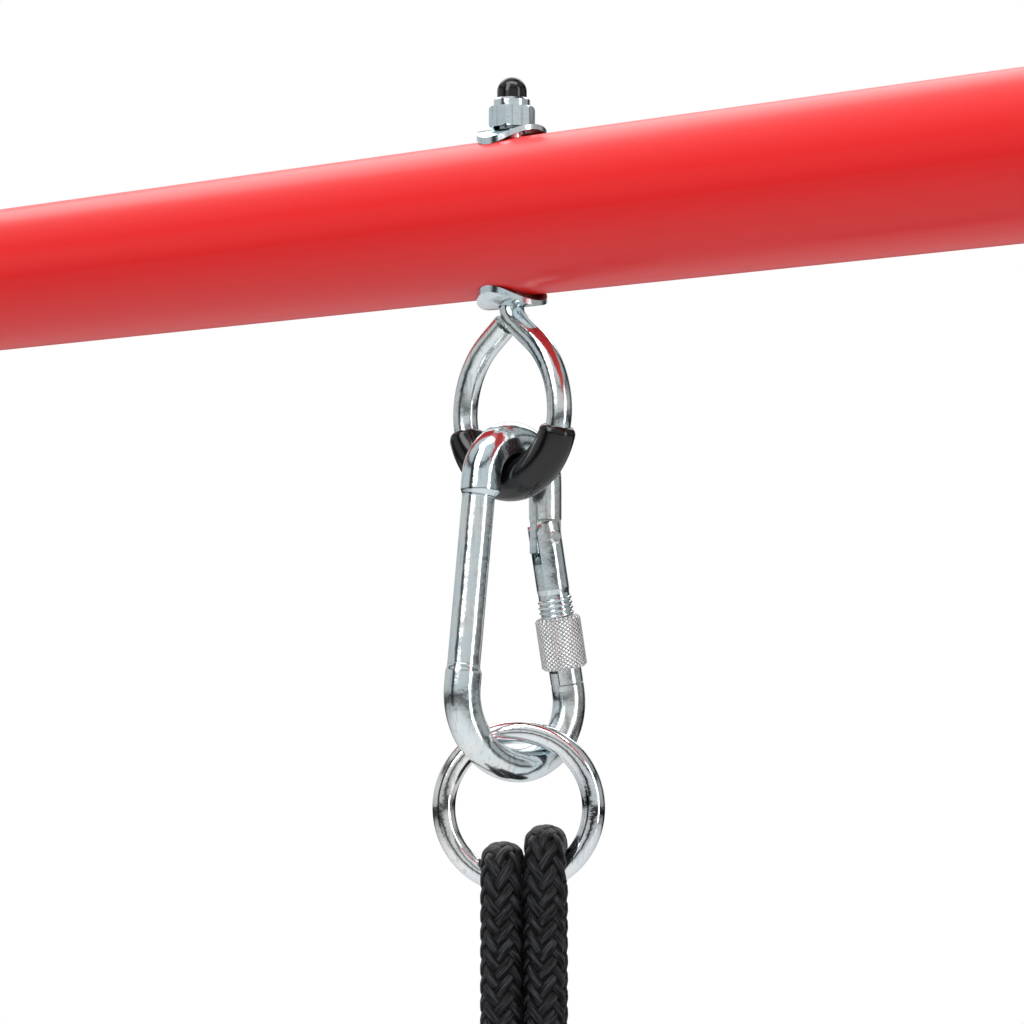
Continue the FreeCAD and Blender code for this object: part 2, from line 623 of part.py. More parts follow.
spread("eye hinge", V(0, 0, eye_bottom))
spread("rivet", hook_place(rivet_point))
spread("rivet axis", hook_place(V(0, 1, 0)))
spread("gate axis, down", hook_place(gate_down))
spread("nose end of gate", hook_place(on_gate(gate_length)))
spread("hook's lowest point", hook_place(V(HOOK_LOW_OFFSET, 0, hook_bottom)))
spread("hook's tangent there", hook_place(V(1, 0, 0)))
spread("ring's lowest point", V(hang_point.x, hang_point.y, ring_bottom))
spread("ring's tangent there", FreeCAD.Rotation(UP, RING_YAW).multVec(V(1, 0, 0)))
spread("seat hole", V(hang_point.x, hang_point.y, seat_hole_height))
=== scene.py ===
# %% [markdown]
# A swing's hanging point: a red tube beam with a bent eye bolt, a plastic wear sleeve, a screw-lock snap
# hook, a welded ring and two black braided ropes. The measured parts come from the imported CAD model. This
# script gives them their finishes, and it models what CAD left plain: the braid of the ropes, the knurl,
# the thread, the moulded wear sleeve and the pressed shapes of the hook.

# %% Load the frame
import bpy
import bmesh
import json
import math
import numpy as np
from mathutils import Matrix, Vector


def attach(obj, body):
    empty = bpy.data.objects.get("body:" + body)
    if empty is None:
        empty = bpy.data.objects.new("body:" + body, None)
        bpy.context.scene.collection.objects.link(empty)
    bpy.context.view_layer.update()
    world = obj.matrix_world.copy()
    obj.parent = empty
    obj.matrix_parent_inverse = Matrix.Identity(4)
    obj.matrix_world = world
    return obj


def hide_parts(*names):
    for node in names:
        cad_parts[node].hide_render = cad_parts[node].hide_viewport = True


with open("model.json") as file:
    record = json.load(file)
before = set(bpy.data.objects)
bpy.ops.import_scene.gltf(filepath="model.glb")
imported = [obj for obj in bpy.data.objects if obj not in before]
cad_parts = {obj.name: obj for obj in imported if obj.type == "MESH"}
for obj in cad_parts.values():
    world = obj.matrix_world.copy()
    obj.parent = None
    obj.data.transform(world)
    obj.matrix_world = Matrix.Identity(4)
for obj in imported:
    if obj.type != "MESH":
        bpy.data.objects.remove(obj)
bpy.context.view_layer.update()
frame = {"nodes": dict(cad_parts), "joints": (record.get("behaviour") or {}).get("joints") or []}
nodes = frame["nodes"]
joints = {joint["name"]: joint for joint in frame["joints"]}
scene = bpy.context.scene
bpy.ops.object.select_all(action="DESELECT")

# %% [markdown]
# The camera comes first, because the ropes are judged by what it sees. It stands at 45 degrees to the beam,
# a little over a metre away and lower than the beam, and looks slightly up through a long lens. A long lens
# far away keeps the near and the far end of the beam at almost the same size.

# %% Camera
CAMERA_DISTANCE = 1.085
CAMERA_AZIMUTH = math.radians(45)
CAMERA_HEIGHT = -0.133
CAMERA_PITCH = math.radians(3.27)
CAMERA_LENS = 159.2

camera_data = bpy.data.cameras.new("camera")
camera_data.lens = CAMERA_LENS
camera_data.sensor_width = 36.0
camera = bpy.data.objects.new("camera", camera_data)
camera.location = (
    math.sin(CAMERA_AZIMUTH) * CAMERA_DISTANCE,
    -math.cos(CAMERA_AZIMUTH) * CAMERA_DISTANCE,
    CAMERA_HEIGHT,
)
camera.rotation_euler = (math.pi / 2 + CAMERA_PITCH, 0, CAMERA_AZIMUTH)
scene.collection.objects.link(camera)
scene.camera = camera
scene.view_settings.view_transform = "Standard"
print("camera at", [round(x, 3) for x in camera.location])

# %% [markdown]
# The studio is a white sweep: a pale floor well below the ropes, and an even white surround. Metal shows
# only what it reflects, so the surround is not the same everywhere. The camera sees it white, while shiny
# surfaces see a bright ceiling, a grey middle and darker bands, level ones and upright ones, which draw the
# long streaks that round plated wire has in a studio.

# %% Floor and surround
FLOOR_HEIGHT = -0.62
FLOOR_RADIUS = 2.2
SURROUND_STRENGTH = 0.74
# Each band is its place, from straight down (0) to straight up (1), and its brightness.
LEVEL_BANDS = (
    (0.30, 0.80), (0.42, 0.65), (0.455, 0.02), (0.49, 0.04), (0.51, 0.75),
    (0.60, 1.0), (0.66, 0.8), (0.70, 0.03), (0.75, 0.8), (0.82, 1.0),
)
# The same, but the place is a share of the way round the horizon.
UPRIGHT_BANDS = (
    (0.165, 0.9), (0.19, 0.06), (0.225, 0.06), (0.25, 1.0), (0.50, 1.0),
    (0.56, 0.62), (0.68, 0.62), (0.73, 0.05), (0.78, 0.05), (0.81, 0.9),
)


def new_material(name):
    """A material with a Principled BSDF, returned with its node tree and that node."""
    material = bpy.data.materials.new(name)
    material.use_nodes = True
    tree = material.node_tree
    return material, tree, tree.nodes["Principled BSDF"]


bpy.ops.mesh.primitive_circle_add(vertices=96, radius=FLOOR_RADIUS, fill_type="NGON",
                                  location=(0, 0, FLOOR_HEIGHT))
floor = bpy.context.object
floor.name = "studio_floor"
floor_material, _, floor_shader = new_material("pale_floor")
floor_shader.inputs["Base Color"].default_value = (0.74, 0.74, 0.75, 1)
floor_shader.inputs["Roughness"].default_value = 0.9
floor.data.materials.append(floor_material)

world = bpy.data.worlds.new("white_surround")
scene.world = world
world.use_nodes = True
sky = world.node_tree
sky.nodes.clear()
sky_out = sky.nodes.new("ShaderNodeOutputWorld")
sky_mix = sky.nodes.new("ShaderNodeMixShader")
sky_seen = sky.nodes.new("ShaderNodeBackground")
sky_lit = sky.nodes.new("ShaderNodeBackground")
sky_path = sky.nodes.new("ShaderNodeLightPath")
sky_where = sky.nodes.new("ShaderNodeTexCoord")
sky_split = sky.nodes.new("ShaderNodeSeparateXYZ")
sky_bands = sky.nodes.new("ShaderNodeValToRGB")
sky_range = sky.nodes.new("ShaderNodeMapRange")
sky_seen.inputs["Color"].default_value = (1, 1, 1, 1)
sky_seen.inputs["Strength"].default_value = 1.0
sky_lit.inputs["Strength"].default_value = SURROUND_STRENGTH
sky_range.inputs["From Min"].default_value = -1.0
bands = sky_bands.color_ramp
bands.elements[0].position = 0.0
bands.elements[0].color = (0.50, 0.53, 0.56, 1)
bands.elements[1].position = 1.0
bands.elements[1].color = (1.0, 1.0, 1.0, 1)
for place, shade in LEVEL_BANDS:
    stop = bands.elements.new(place)
    stop.color = (shade * 0.96, shade * 0.985, shade, 1)
link = sky.links.new
link(sky_where.outputs["Generated"], sky_split.inputs[0])
link(sky_split.outputs["Z"], sky_range.inputs["Value"])
link(sky_range.outputs["Result"], sky_bands.inputs["Fac"])
sky_round = sky.nodes.new("ShaderNodeTexGradient")
sky_round.gradient_type = "RADIAL"
sky_sides = sky.nodes.new("ShaderNodeValToRGB")
sides = sky_sides.color_ramp
sides.elements[0].color = (0.9, 0.9, 0.9, 1)
sides.elements[1].color = (0.9, 0.9, 0.9, 1)
for place, shade in UPRIGHT_BANDS:
    stop = sides.elements.new(place)
    stop.color = (shade, shade, shade, 1)
sky_both = sky.nodes.new("ShaderNodeMix")
sky_both.data_type = "RGBA"
sky_both.blend_type = "MULTIPLY"
sky_both.inputs["Factor"].default_value = 1.0
link(sky_where.outputs["Generated"], sky_round.inputs["Vector"])
link(sky_round.outputs["Fac"], sky_sides.inputs["Fac"])
link(sky_bands.outputs["Color"], sky_both.inputs["A"])
link(sky_sides.outputs["Color"], sky_both.inputs["B"])
link(sky_both.outputs["Result"], sky_lit.inputs["Color"])
link(sky_path.outputs["Is Camera Ray"], sky_mix.inputs["Fac"])
link(sky_lit.outputs[0], sky_mix.inputs[1])
link(sky_seen.outputs[0], sky_mix.inputs[2])
link(sky_mix.outputs[0], sky_out.inputs["Surface"])

# %% [markdown]
# Four large soft lamps model the shapes: one over the camera's left shoulder, a weaker one from the right,
# one straight above, and one behind and above, which gives the beam the pale veil along its upper edge.

# %% Lamps
LAMP_TARGET = Vector((0, 0, -0.08))


def soft_lamp(name, azimuth, elevation, distance, size, power):
    """An area lamp that looks at the hook from the given direction."""
    data = bpy.data.lights.new(name, "AREA")
    data.shape = "RECTANGLE"
    data.size, data.size_y = size
    data.energy = power
    lamp = bpy.data.objects.new(name, data)
    a = math.radians(azimuth)
    e = math.radians(elevation)
    lamp.location = LAMP_TARGET + distance * Vector(
        (math.sin(a) * math.cos(e), -math.cos(a) * math.cos(e), math.sin(e)))
    lamp.rotation_euler = (LAMP_TARGET - lamp.location).to_track_quat("-Z", "Y").to_euler()
    scene.collection.objects.link(lamp)


soft_lamp("key_lamp", 8, 34, 1.6, (0.7, 1.2), 11)
soft_lamp("fill_lamp", 100, 10, 1.7, (0.4, 1.4), 6)
soft_lamp("top_lamp", 40, 72, 1.5, (1.8, 0.6), 14)
soft_lamp("rim_lamp", 225, 42, 1.6, (1.9, 0.8), 9)

# %% [markdown]
# Effects that several finishes share are node groups, built once. The first is fine surface relief: noise
# at a chosen size becomes a height for a Bump node. The second is uneven plating: zinc is never one flat
# colour, it drifts between a warm and a cold grey, and its shine changes a little with it. Fine dark
# streaks from drawing the wire run through it.

# %% Shared node groups


def new_group(name, inputs, outputs):
    """A shader node group with float or colour sockets; returns it with its input and output nodes."""
    group = bpy.data.node_groups.new(name, "ShaderNodeTree")
    for label, kind, value in inputs:
        socket = group.interface.new_socket(label, in_out="INPUT", socket_type=kind)
        socket.default_value = value
    for label, kind in outputs:
        group.interface.new_socket(label, in_out="OUTPUT", socket_type=kind)
    return group, group.nodes.new("NodeGroupInput"), group.nodes.new("NodeGroupOutput")


FLOAT = "NodeSocketFloat"
COLOUR = "NodeSocketColor"

fine_relief, relief_in, relief_out = new_group(
    "fine_relief", [("Size", FLOAT, 400.0), ("Detail", FLOAT, 3.0)], [("Height", FLOAT)])
relief_place = fine_relief.nodes.new("ShaderNodeTexCoord")
relief_noise = fine_relief.nodes.new("ShaderNodeTexNoise")
fine_relief.links.new(relief_place.outputs["Object"], relief_noise.inputs["Vector"])
fine_relief.links.new(relief_in.outputs["Size"], relief_noise.inputs["Scale"])
fine_relief.links.new(relief_in.outputs["Detail"], relief_noise.inputs["Detail"])
fine_relief.links.new(relief_noise.outputs["Fac"], relief_out.inputs["Height"])

uneven_plate, plate_in, plate_out = new_group(
    "uneven_plate",
    [("Cold", COLOUR, (0.72, 0.78, 0.84, 1)), ("Warm", COLOUR, (0.8, 0.78, 0.74, 1)),
     ("Size", FLOAT, 90.0), ("Shine", FLOAT, 0.16), ("Shine Change", FLOAT, 0.12)],
    [("Colour", COLOUR), ("Roughness", FLOAT)])
plate_place = uneven_plate.nodes.new("ShaderNodeTexCoord")
plate_noise = uneven_plate.nodes.new("ShaderNodeTexNoise")
plate_noise.inputs["Detail"].default_value = 4.0
plate_ramp = uneven_plate.nodes.new("ShaderNodeMapRange")
plate_ramp.inputs["From Min"].default_value = 0.35
plate_ramp.inputs["From Max"].default_value = 0.65
plate_mix = uneven_plate.nodes.new("ShaderNodeMix")
plate_mix.data_type = "RGBA"
plate_gain = uneven_plate.nodes.new("ShaderNodeMath")
plate_gain.operation = "MULTIPLY_ADD"
streak_stretch = uneven_plate.nodes.new("ShaderNodeMapping")
streak_stretch.inputs["Scale"].default_value = (1.0, 1.0, 0.05)
streak_noise = uneven_plate.nodes.new("ShaderNodeTexNoise")
streak_noise.inputs["Scale"].default_value = 1300.0
streak_noise.inputs["Detail"].default_value = 3.0
streak_share = uneven_plate.nodes.new("ShaderNodeMapRange")
streak_share.inputs["From Min"].default_value = 0.56
streak_share.inputs["From Max"].default_value = 0.70
streak_share.inputs["To Max"].default_value = 0.45
streak_mix = uneven_plate.nodes.new("ShaderNodeMix")
streak_mix.data_type = "RGBA"
streak_mix.blend_type = "MULTIPLY"
streak_mix.inputs["B"].default_value = (0.42, 0.45, 0.48, 1)
links = uneven_plate.links
links.new(plate_place.outputs["Object"], plate_noise.inputs["Vector"])
links.new(plate_in.outputs["Size"], plate_noise.inputs["Scale"])
links.new(plate_noise.outputs["Fac"], plate_ramp.inputs["Value"])
links.new(plate_ramp.outputs["Result"], plate_mix.inputs["Factor"])
links.new(plate_in.outputs["Cold"], plate_mix.inputs["A"])
links.new(plate_in.outputs["Warm"], plate_mix.inputs["B"])
links.new(plate_place.outputs["Object"], streak_stretch.inputs["Vector"])
links.new(streak_stretch.outputs["Vector"], streak_noise.inputs["Vector"])
links.new(streak_noise.outputs["Fac"], streak_share.inputs["Value"])
links.new(streak_share.outputs["Result"], streak_mix.inputs["Factor"])
links.new(plate_mix.outputs["Result"], streak_mix.inputs["A"])
links.new(streak_mix.outputs["Result"], plate_out.inputs["Colour"])
links.new(plate_ramp.outputs["Result"], plate_gain.inputs[0])
links.new(plate_in.outputs["Shine Change"], plate_gain.inputs[1])
links.new(plate_in.outputs["Shine"], plate_gain.inputs[2])
links.new(plate_gain.outputs[0], plate_out.inputs["Roughness"])


def add_group(tree, group, **values):
    """The group as a node of the tree, with its sockets set; an underscore stands for a space."""
    node = tree.nodes.new("ShaderNodeGroup")
    node.node_tree = group
    for label, value in values.items():
        node.inputs[label.replace("_", " ")].default_value = value
    return node


def add_relief(tree, shader, size, strength, distance, detail=3.0):
    """Fine relief on the shader's normal; size in wrinkles per metre, distance in metres."""
    relief = add_group(tree, fine_relief, Size=size, Detail=detail)
    bump = tree.nodes.new("ShaderNodeBump")
    bump.inputs["Strength"].default_value = strength
    bump.inputs["Distance"].default_value = distance
    tree.links.new(relief.outputs["Height"], bump.inputs["Height"])
    tree.links.new(bump.outputs["Normal"], shader.inputs["Normal"])


# %% [markdown]
# Plated steel: fully metallic, light blue-grey, with the uneven plate group on colour and roughness. The
# same maker's function gives each plated finish its own colours and shine.

# %% Plated metals


def plated(name, cold, warm, size, shine, change, relief):
    """Plating that drifts between two colours; size and relief are in patches per metre."""
    material, tree, shader = new_material(name)
    shader.inputs["Metallic"].default_value = 1.0
    plate = add_group(tree, uneven_plate, Cold=(*cold, 1), Warm=(*warm, 1), Size=size, Shine=shine,
                      Shine_Change=change)
    tree.links.new(plate.outputs["Colour"], shader.inputs["Base Color"])
    tree.links.new(plate.outputs["Roughness"], shader.inputs["Roughness"])
    add_relief(tree, shader, relief, 0.35, 0.0003)
    return material


zinc = plated("bright_zinc", (0.68, 0.79, 0.83), (0.86, 0.87, 0.85), 60, 0.11, 0.13, 330)
chrome = plated("polished_ring", (0.76, 0.81, 0.84), (0.90, 0.90, 0.88), 60, 0.06, 0.07, 260)
knurl_steel = plated("knurled_steel", (0.88, 0.90, 0.90), (0.95, 0.95, 0.93), 300, 0.36, 0.15, 1500)
spring_steel = plated("spring_steel", (0.5, 0.52, 0.55), (0.6, 0.6, 0.58), 200, 0.25, 0.1, 900)

# %% [markdown]
# The lock sleeve has a diamond knurl: two sets of fine grooves wind round it in opposite directions. The
# material works out, for each point, its height along the gate's axis and its angle round it. Adding or
# subtracting the two gives the two sets of grooves, and the deeper of both at a point is its height. That
# height drives the bump, and it also darkens the base colour in the grooves as painted shade.

# %% Knurl on the lock sleeve
gate_down = Vector(joints["lock_travel"]["axis"])
rivet_place = Vector(joints["gate_swing"]["pos_m"])
KNURL_COUNT = 27
KNURL_LEAD = 0.027


def math_node(tree, operation, first, second=None):
    """A Math node on two sockets or numbers; returns its output."""
    node = tree.nodes.new("ShaderNodeMath")
    node.operation = operation
    for socket, value in zip(node.inputs, (first, second)):
        if value is None:
            continue
        if isinstance(value, (int, float)):
            socket.default_value = value
        else:
            tree.links.new(value, socket)
    return node.outputs[0]


def around_gate(tree):
    """Height along the gate's axis and angle round it, from Object coordinates."""
    place = tree.nodes.new("ShaderNodeTexCoord")
    settle = tree.nodes.new("ShaderNodeMapping")
    turn = gate_down.to_track_quat("Z", "Y").to_matrix().inverted()
    settle.inputs["Rotation"].default_value = turn.to_euler()
    settle.inputs["Location"].default_value = -(turn @ rivet_place)
    split = tree.nodes.new("ShaderNodeSeparateXYZ")
    tree.links.new(place.outputs["Object"], settle.inputs["Vector"])
    tree.links.new(settle.outputs["Vector"], split.inputs[0])
    return split.outputs["Z"], math_node(tree, "ARCTAN2", split.outputs["Y"], split.outputs["X"])


tree = knurl_steel.node_tree
shader = tree.nodes["Principled BSDF"]
height, angle = around_gate(tree)
lean = math_node(tree, "MULTIPLY", height, 2 * math.pi / KNURL_LEAD)
grooves = []
for way in ("ADD", "SUBTRACT"):
    wind = math_node(tree, "MULTIPLY", math_node(tree, way, angle, lean), KNURL_COUNT)
    wave = math_node(tree, "COSINE", math_node(tree, "DIVIDE", wind, 2.0))
    grooves.append(math_node(tree, "ABSOLUTE", wave))
diamond = math_node(tree, "MINIMUM", *grooves)
knurl_bump = tree.nodes.new("ShaderNodeBump")
knurl_bump.inputs["Strength"].default_value = 1.0
knurl_bump.inputs["Distance"].default_value = 0.00025
tree.links.new(diamond, knurl_bump.inputs["Height"])
tree.links.new(knurl_bump.outputs["Normal"], shader.inputs["Normal"])
# Painted shade: the base colour is darkened in the grooves, down to half at their deepest.
knurl_groove_shade = tree.nodes.new("ShaderNodeMapRange")
knurl_groove_shade.inputs["From Max"].default_value = 0.7
knurl_groove_shade.inputs["To Min"].default_value = 0.50
knurl_shade_tint = tree.nodes.new("ShaderNodeMix")
knurl_shade_tint.data_type = "RGBA"
knurl_shade_tint.blend_type = "MULTIPLY"
knurl_shade_tint.inputs["Factor"].default_value = 1.0
tree.links.new(diamond, knurl_groove_shade.inputs["Value"])
tree.links.new(shader.inputs["Base Color"].links[0].from_socket, knurl_shade_tint.inputs["A"])
tree.links.new(knurl_groove_shade.outputs["Result"], knurl_shade_tint.inputs["B"])
tree.links.new(knurl_shade_tint.outputs["Result"], shader.inputs["Base Color"])
print("knurl: %d grooves each way" % KNURL_COUNT)

# %% [markdown]
# Powder coat is paint baked from powder: a saturated colour under a clear glossy skin with faint orange
# peel. A coat layer on the Principled BSDF gives the skin, and the relief group gives the peel.

# %% Red powder coat
red_coat, tree, shader = new_material("red_powder_coat")
shader.inputs["Base Color"].default_value = (0.76, 0.009, 0.010, 1)
shader.inputs["Roughness"].default_value = 0.40
shader.inputs["Specular IOR Level"].default_value = 0.38
shader.inputs["Coat Weight"].default_value = 0.12
shader.inputs["Coat Roughness"].default_value = 0.12
add_relief(tree, shader, 700, 0.08, 0.0003)

# %% [markdown]
# The wear sleeve and the cap are glossy moulded plastic, the rope clamp is a duller one, and the insert of
# the lock nut is pale nylon.

# %% Plastics


def plastic(name, colour, roughness, relief, strength):
    """Plain plastic with a fine relief, in wrinkles per metre."""
    material, tree, shader = new_material(name)
    shader.inputs["Base Color"].default_value = (*colour, 1)
    shader.inputs["Roughness"].default_value = roughness
    add_relief(tree, shader, relief, strength, 0.0003)
    return material


sleeve_plastic = plastic("black_sleeve", (0.004, 0.004, 0.0045), 0.15, 300, 0.10)
cap_plastic = plastic("black_cap", (0.004, 0.004, 0.005), 0.14, 300, 0.05)
clamp_plastic = plastic("clamp_plastic", (0.022, 0.022, 0.024), 0.45, 2500, 0.25)
nylon = plastic("natural_nylon", (0.75, 0.76, 0.78), 0.45, 900, 0.1)

# %% [markdown]
# The rope's yarn is black nylon. Each strand is a bundle of fine filaments, so the material draws lines
# along the strand from its UV map, as colour and as relief. The light filaments in the colour are partly the
# yarn's own tone and partly painted sparkle highlights. The colour is also painted darker towards each
# strand's edges, as painted shade where two strands meet. Sheen adds the soft edge light of fibre.

# %% Rope yarn
yarn, tree, shader = new_material("black_yarn")
uv = tree.nodes.new("ShaderNodeUVMap")
uv.uv_map = "strand"
stretch = tree.nodes.new("ShaderNodeMapping")
stretch.inputs["Scale"].default_value = (18.0, 2.6, 1.0)
filaments = tree.nodes.new("ShaderNodeTexNoise")
filaments.noise_dimensions = "2D"
filaments.inputs["Scale"].default_value = 1.0
filaments.inputs["Detail"].default_value = 4.0
# The light filaments are partly the yarn's own tone and partly painted sparkle highlights, raised in colour.
shade = tree.nodes.new("ShaderNodeValToRGB")
shade.color_ramp.elements[0].position = 0.38
shade.color_ramp.elements[0].color = (0.0006, 0.0006, 0.0007, 1)
shade.color_ramp.elements[1].position = 0.66
shade.color_ramp.elements[1].color = (0.040, 0.042, 0.048, 1)
lift = tree.nodes.new("ShaderNodeBump")
lift.inputs["Strength"].default_value = 0.8
lift.inputs["Distance"].default_value = 0.0005
tree.links.new(uv.outputs["UV"], stretch.inputs["Vector"])
tree.links.new(stretch.outputs["Vector"], filaments.inputs["Vector"])
around = tree.nodes.new("ShaderNodeSeparateXYZ")
tree.links.new(uv.outputs["UV"], around.inputs[0])
bearing = math_node(tree, "MULTIPLY", around.outputs["X"], 2 * math.pi)
# Painted shade: the colour darkens towards each strand's edges, where two strands meet.
strand_gap_shade = math_node(tree, "ABSOLUTE", math_node(tree, "SINE", bearing))
strand_gap_shade = math_node(tree, "POWER", strand_gap_shade, 0.6)
tree.links.new(math_node(tree, "MULTIPLY", filaments.outputs["Fac"], strand_gap_shade), shade.inputs["Fac"])
tree.links.new(shade.outputs["Color"], shader.inputs["Base Color"])
tree.links.new(filaments.outputs["Fac"], lift.inputs["Height"])
tree.links.new(lift.outputs["Normal"], shader.inputs["Normal"])
shader.inputs["Roughness"].default_value = 0.33
shader.inputs["Specular IOR Level"].default_value = 0.16
shader.inputs["Sheen Weight"].default_value = 0.02
shader.inputs["Sheen Roughness"].default_value = 0.4

# %% [markdown]
# A carried-over CAD node keeps its mesh and only gets a finish, in its material slot.

# %% Finishes on the CAD nodes
finish_of = {
    "beam_tube": red_coat,
    "upper_saddle_washer": zinc,
    "lower_saddle_washer": zinc,
    "lock_nut": zinc,
    "nut_insert": nylon,
    "thread_cap": cap_plastic,
    "eye_bolt": zinc,
    "wear_sleeve": sleeve_plastic,
    "hook_body": zinc,
    "gate_body": zinc,
    "gate_rivet": zinc,
    "gate_plunger": spring_steel,
    "gate_spring": spring_steel,
    "lock_sleeve": knurl_steel,
    "ring": chrome,
    "left_clamp_plate": clamp_plastic,
    "centre_clamp_plate": clamp_plastic,
    "right_clamp_plate": clamp_plastic,
    "clamp_screws": zinc,
    "clamp_nuts": zinc,
    "rope_left": yarn,
    "rope_right": yarn,
}
for name, material in finish_of.items():
    mesh = nodes[name].data
    mesh.materials.clear()
    mesh.materials.append(material)

# %% [markdown]
# The wear sleeve is a moulded plastic saddle that is clipped round the lowest part of the eye. Its section is
# like a drop: round inside, where the hook rides, and drawn out to a keel along the outer edge, where the
# mould parts. A section is spun round the eye's centre, and then each ring of it is made fuller towards the
# bottom of the eye, because the sleeve is thickest there. The ends are cut level.

# %% Moulded wear sleeve
EYE_RADIUS = 0.016
SLEEVE_REACH = math.radians(76)
SECTION_POINTS = 48
SECTION_START = 0.005
SPIN_STEPS = 96
hinge = Vector(joints["hook_swing"]["pos_m"])
eye_centre = hinge + Vector((0, 0, EYE_RADIUS))

bpy.ops.object.select_all(action="DESELECT")
bpy.ops.mesh.primitive_circle_add(vertices=SECTION_POINTS, radius=SECTION_START, fill_type="NGON",
                                  location=(0, 0, 0))
sleeve = bpy.context.object
sleeve.name = "moulded_wear_sleeve"
bpy.ops.object.mode_set(mode="EDIT")
bpy.ops.mesh.select_all(action="SELECT")
bpy.ops.transform.translate(value=(EYE_RADIUS, 0, 0))
bpy.ops.mesh.spin(steps=SPIN_STEPS, angle=2 * SLEEVE_REACH, center=(0, 0, 0), axis=(0, 1, 0))
bpy.ops.mesh.select_all(action="SELECT")
bpy.ops.mesh.normals_make_consistent(inside=False)
bpy.ops.object.mode_set(mode="OBJECT")
angles = [math.atan2(v.co.z, v.co.x) for v in sleeve.data.vertices]
middle = (min(angles) + max(angles)) / 2
print("sleeve: %d faces, swept about %.1f degrees" % (len(sleeve.data.polygons), math.degrees(middle)))

# %% [markdown]
# Now each point of the swept ring is moved. Its bearing says how far it is from the bottom of the eye, and
# its turn says where it is on the section. Outside, the section is drawn out to the keel; inside, it is
# fuller at the bottom. The two ends are rounded over.

# %% The sleeve's swelling section
OUTER_WALL = 0.0041
OUTER_SWELL = 0.0006
INNER_WALL = 0.0039
INNER_SWELL = 0.00125
SIDE_WALL = 0.0046
SIDE_SWELL = 0.0006
KEEL_HEIGHT = 0.00055
KEEL_START = 0.80
KEEL_BLEND = 0.06
END_START = 0.94
END_ROUNDING = 0.35
for vertex in sleeve.data.vertices:
    bearing = math.atan2(vertex.co.z, vertex.co.x) - middle
    outward = math.hypot(vertex.co.x, vertex.co.z) - EYE_RADIUS
    turn = math.atan2(vertex.co.y, outward)
    full = 0.5 + 0.5 * math.cos(math.pi * min(1, abs(bearing) / SLEEVE_REACH))
    keel = min(1.0, max(0.0, (math.cos(turn) - KEEL_START) / KEEL_BLEND))
    outer_reach = OUTER_WALL + OUTER_SWELL * full
    inner_reach = INNER_WALL + INNER_SWELL * math.sqrt(full)
    reach = outer_reach if math.cos(turn) > 0 else inner_reach
    away = (reach + KEEL_HEIGHT * keel) * math.cos(turn)
    end = max(0.0, abs(bearing) / SLEEVE_REACH - END_START) / (1 - END_START)
    rounding = math.sqrt(max(0.0, 1 - END_ROUNDING * end * end))
    sideways = (SIDE_WALL + SIDE_SWELL * full) * math.sin(turn) * rounding
    distance = EYE_RADIUS + away * rounding
    vertex.co = eye_centre + Vector((distance * math.sin(bearing), sideways, -distance * math.cos(bearing)))
bpy.context.view_layer.objects.active = sleeve
sleeve.select_set(True)
sleeve.data.shade_smooth()
sleeve.data.materials.append(sleeve_plastic)
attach(sleeve, "beam")
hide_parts("wear_sleeve")

# %% [markdown]
# The hook is pressed from round bar. Its top bend comes out of the press wider, with a flat back between two
# ridges, and it ends on the spine in a small step. The lower bend has such a step too. Each pressed part is
# a bar that is cut into many short lengths, and then laid along the hook's own line, with its section
# changing on the way.

# %% The hook's own line
HOOK_RADIUS = 0.00395
TOP_RADIUS = 0.0099
TOP_OFFSET = -0.0003
LOW_OFFSET = -0.0020
SPINE_RADIUS = 0.0172
NOSE_RADIUS = 0.0155
UPPER_STEP = -0.0668
LOWER_STEP = -0.1090
SPINE_LEAN = 6.316
HOOK_HEIGHT = 0.0781
TOP_BEND_START = 172
NOSE_END = -165
BAR_SIDES = 56
BAR_CUTS = 220
LOOK_AHEAD = 0.0004
spineward = Vector(joints["ring_swing"]["axis"])
hook_low = Vector(joints["ring_swing"]["pos_m"])
hook_top = hook_low.z + HOOK_HEIGHT
level = Vector((spineward.x, spineward.y, 0)).normalized()
facing = Vector((0, 0, 1)).cross(level)


def bend_points(offset, height, radius, start, end, count):
    """Points of an arc in the hook's plane, as (towards the spine, height); angles from the spine."""
    turns = np.linspace(math.radians(start), math.radians(end), count)
    return [(offset + radius * math.cos(t), height + radius * math.sin(t)) for t in turns]


line_points = bend_points(TOP_OFFSET, hook_top - TOP_RADIUS, TOP_RADIUS, TOP_BEND_START, SPINE_LEAN, 90)
line_points += bend_points(LOW_OFFSET, hook_low.z + SPINE_RADIUS, SPINE_RADIUS, SPINE_LEAN, -90, 60)
line_points += bend_points(LOW_OFFSET, hook_low.z + NOSE_RADIUS, NOSE_RADIUS, -90, NOSE_END, 50)[1:]
hook_line = np.array([level * u + Vector((0, 0, z)) for u, z in line_points])
print("hook's line: %d points" % len(hook_line))


def lengths_along(points):
    """The length of a line of points from its start to each of them."""
    return np.concatenate([[0], np.cumsum(np.linalg.norm(np.diff(points, axis=0), axis=1))])


